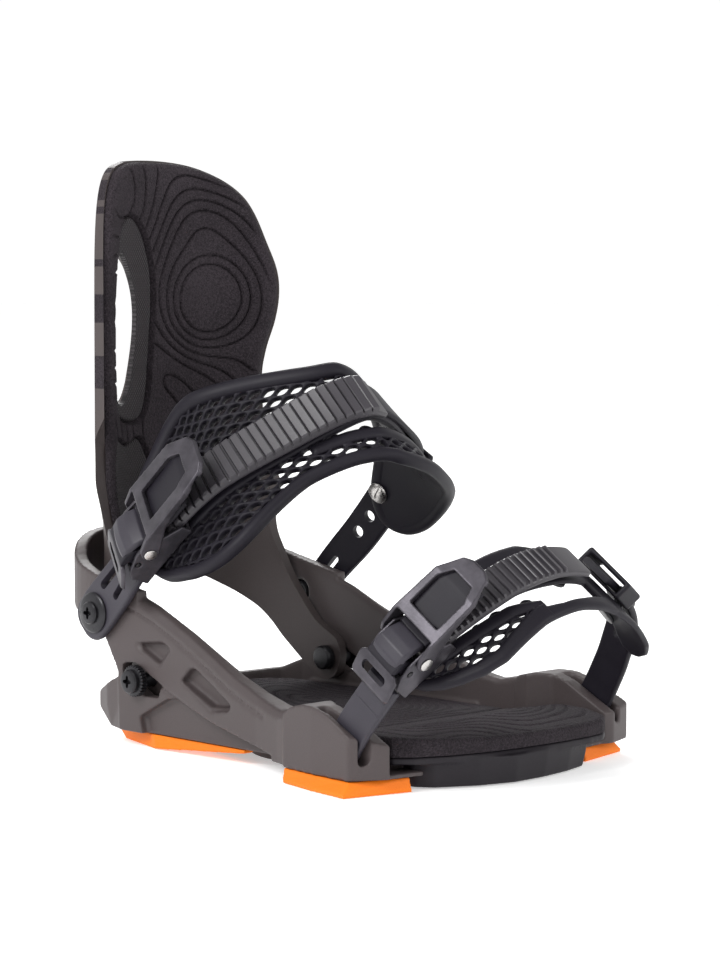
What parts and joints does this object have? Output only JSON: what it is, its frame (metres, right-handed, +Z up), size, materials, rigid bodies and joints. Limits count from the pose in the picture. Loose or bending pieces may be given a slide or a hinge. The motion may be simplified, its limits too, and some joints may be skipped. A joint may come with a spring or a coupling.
{
  "type": "snowboard binding",
  "caption": "Strap snowboard binding: nylon base with turning disc, tall folding highback, ankle and toe straps with ratchet buckles, orange rubber dampers.",
  "frame": {"origin": "centre of the mounting disc on the board's top face", "axes": "+X towards the toe, +Y to the inner (medial) side, away from the buckles, +Z up off the board"},
  "size_m": [0.2722, 0.1605, 0.248],
  "materials": {
    "frame_nylon": "moulded glass-filled nylon, warm grey-brown",
    "shell_nylon": "moulded nylon shell, warm grey-brown",
    "foam_pad": "moulded EVA foam, charcoal",
    "mesh_insert": "diamond-textured panel",
    "damper_rubber": "orange shock-absorbing rubber",
    "strap_plastic": "injected elastomer, blue-black grey",
    "ladder_plastic": "ribbed nylon strap, mid grey",
    "buckle_metal": "dark satin anodised casting",
    "steel": "zinc-plated steel"
  },
  "bodies": {
    "base": {"baseplate": "frame_nylon", "heel_damper": "damper_rubber", "toe_damper_lateral": "damper_rubber", "toe_damper_medial": "damper_rubber", "footbed": "foam_pad", "pivot_screw_lateral": "steel", "pivot_screw_medial": "steel", "pivot_nut_lateral": "steel", "pivot_nut_medial": "steel", "ankle_bolt_lateral": "steel", "ankle_bolt_medial": "steel", "ankle_nut_lateral": "steel", "ankle_nut_medial": "steel", "toe_anchor_lateral": "steel", "toe_anchor_medial": "steel"},
    "disc": {"disc": "frame_nylon"},
    "ramp": {"toe_ramp": "frame_nylon", "toe_ramp_pad": "foam_pad"},
    "highback": {"highback": "shell_nylon", "highback_pad": "foam_pad", "highback_insert": "mesh_insert"},
    "lean_slide": {"lean_block": "shell_nylon", "lean_pin": "steel"},
    "lean_lever": {"lean_lever": "buckle_metal"},
    "ankle_lateral": {"ankle_link": "strap_plastic", "ankle_buckle_frame": "buckle_metal", "ankle_lever_pin": "steel", "ankle_release_pin": "steel", "ankle_release_spring": "steel"},
    "ankle_lever": {"ankle_lever": "buckle_metal"},
    "ankle_release": {"ankle_release": "strap_plastic"},
    "ankle_medial": {"ankle_ladder": "ladder_plastic", "ankle_pad": "strap_plastic", "ankle_ladder_screw": "steel", "ankle_ladder_nut": "steel", "ankle_strap_medial": "strap_plastic", "ankle_keeper": "strap_plastic", "ankle_adjust_nut": "steel"},
    "toe_lateral": {"toe_link": "strap_plastic", "toe_buckle_frame": "buckle_metal", "toe_lever_pin": "steel", "toe_release_pin": "steel", "toe_release_spring": "steel"},
    "toe_lever": {"toe_lever": "buckle_metal"},
    "toe_release": {"toe_release": "strap_plastic"},
    "toe_medial": {"toe_ladder": "ladder_plastic", "toe_pad": "strap_plastic", "toe_ladder_screw": "steel", "toe_ladder_nut": "steel", "toe_strap_medial": "strap_plastic", "toe_keeper": "strap_plastic", "toe_adjust_nut": "steel"}
  },
  "joints": [
    {"name": "disc_turn", "type": "hinge", "parent": "base", "child": "disc", "pos_m": [0, 0, 0.008], "axis": [0, 0, 1], "range_deg": [-45, 45]},
    {"name": "ramp_slide", "type": "slide", "parent": "base", "child": "ramp", "axis": [1, 0, 0], "range_m": [0, 0.012]},
    {"name": "highback_fold", "type": "hinge", "parent": "base", "child": "highback", "pos_m": [-0.0615, 0, 0.0287], "axis": [0, 1, 0], "range_deg": [0, 22.5]},
    {"name": "lean_slide", "type": "slide", "parent": "highback", "child": "lean_slide", "axis": [0, 0, 1], "range_m": [0, 0.012]},
    {"name": "lean_flip", "type": "hinge", "parent": "lean_slide", "child": "lean_lever", "pos_m": [-0.1298, 0, 0.097], "axis": [0, -1, 0], "range_deg": [0, 75]},
    {"name": "ankle_buckle_swing", "type": "hinge", "parent": "base", "child": "ankle_lateral", "pos_m": [-0.086, 0, 0.0556], "axis": [0, 1, 0], "range_deg": [0, 22.5]},
    {"name": "ankle_strap_swing", "type": "hinge", "parent": "base", "child": "ankle_medial", "pos_m": [-0.086, 0, 0.0556], "axis": [0, 1, 0], "range_deg": [0, 22.5]},
    {"name": "ankle_lever_open", "type": "hinge", "parent": "ankle_lateral", "child": "ankle_lever", "pos_m": [-0.04947, -0.06725, 0.09378], "axis": [0.7016, -0.3001, -0.6463], "range_deg": [0, 70]},
    {"name": "ankle_release_press", "type": "hinge", "parent": "ankle_lateral", "child": "ankle_release", "pos_m": [-0.0557, -0.06785, 0.08729], "axis": [0.7016, -0.3001, -0.6463], "range_deg": [0, 12], "stiffness_Nm_per_rad": 0.3, "springref_deg": -5.73},
    {"name": "toe_strap_swing", "type": "hinge", "parent": "base", "child": "toe_medial", "pos_m": [0.0769, 0, 0.0215], "axis": [0, 1, 0], "range_deg": [-10, 10]},
    {"name": "toe_buckle_swing", "type": "hinge", "parent": "base", "child": "toe_lateral", "pos_m": [0.0769, 0, 0.0215], "axis": [0, 1, 0], "range_deg": [-10, 10]},
    {"name": "toe_lever_open", "type": "hinge", "parent": "toe_lateral", "child": "toe_lever", "pos_m": [0.1046, -0.06607, 0.06004], "axis": [0.829, 0, -0.5592], "range_deg": [0, 70]},
    {"name": "toe_release_press", "type": "hinge", "parent": "toe_lateral", "child": "toe_release", "pos_m": [0.10114, -0.06939, 0.05491], "axis": [0.829, 0, -0.5592], "range_deg": [0, 12], "stiffness_Nm_per_rad": 0.3, "springref_deg": -5.73}
  ],
  "couplings": [
    {"joint": "ankle_buckle_swing", "follows": "highback_fold", "ratio": 1},
    {"joint": "ankle_strap_swing", "follows": "highback_fold", "ratio": 1},
    {"joint": "toe_buckle_swing", "follows": "toe_strap_swing", "ratio": 1}
  ]
}
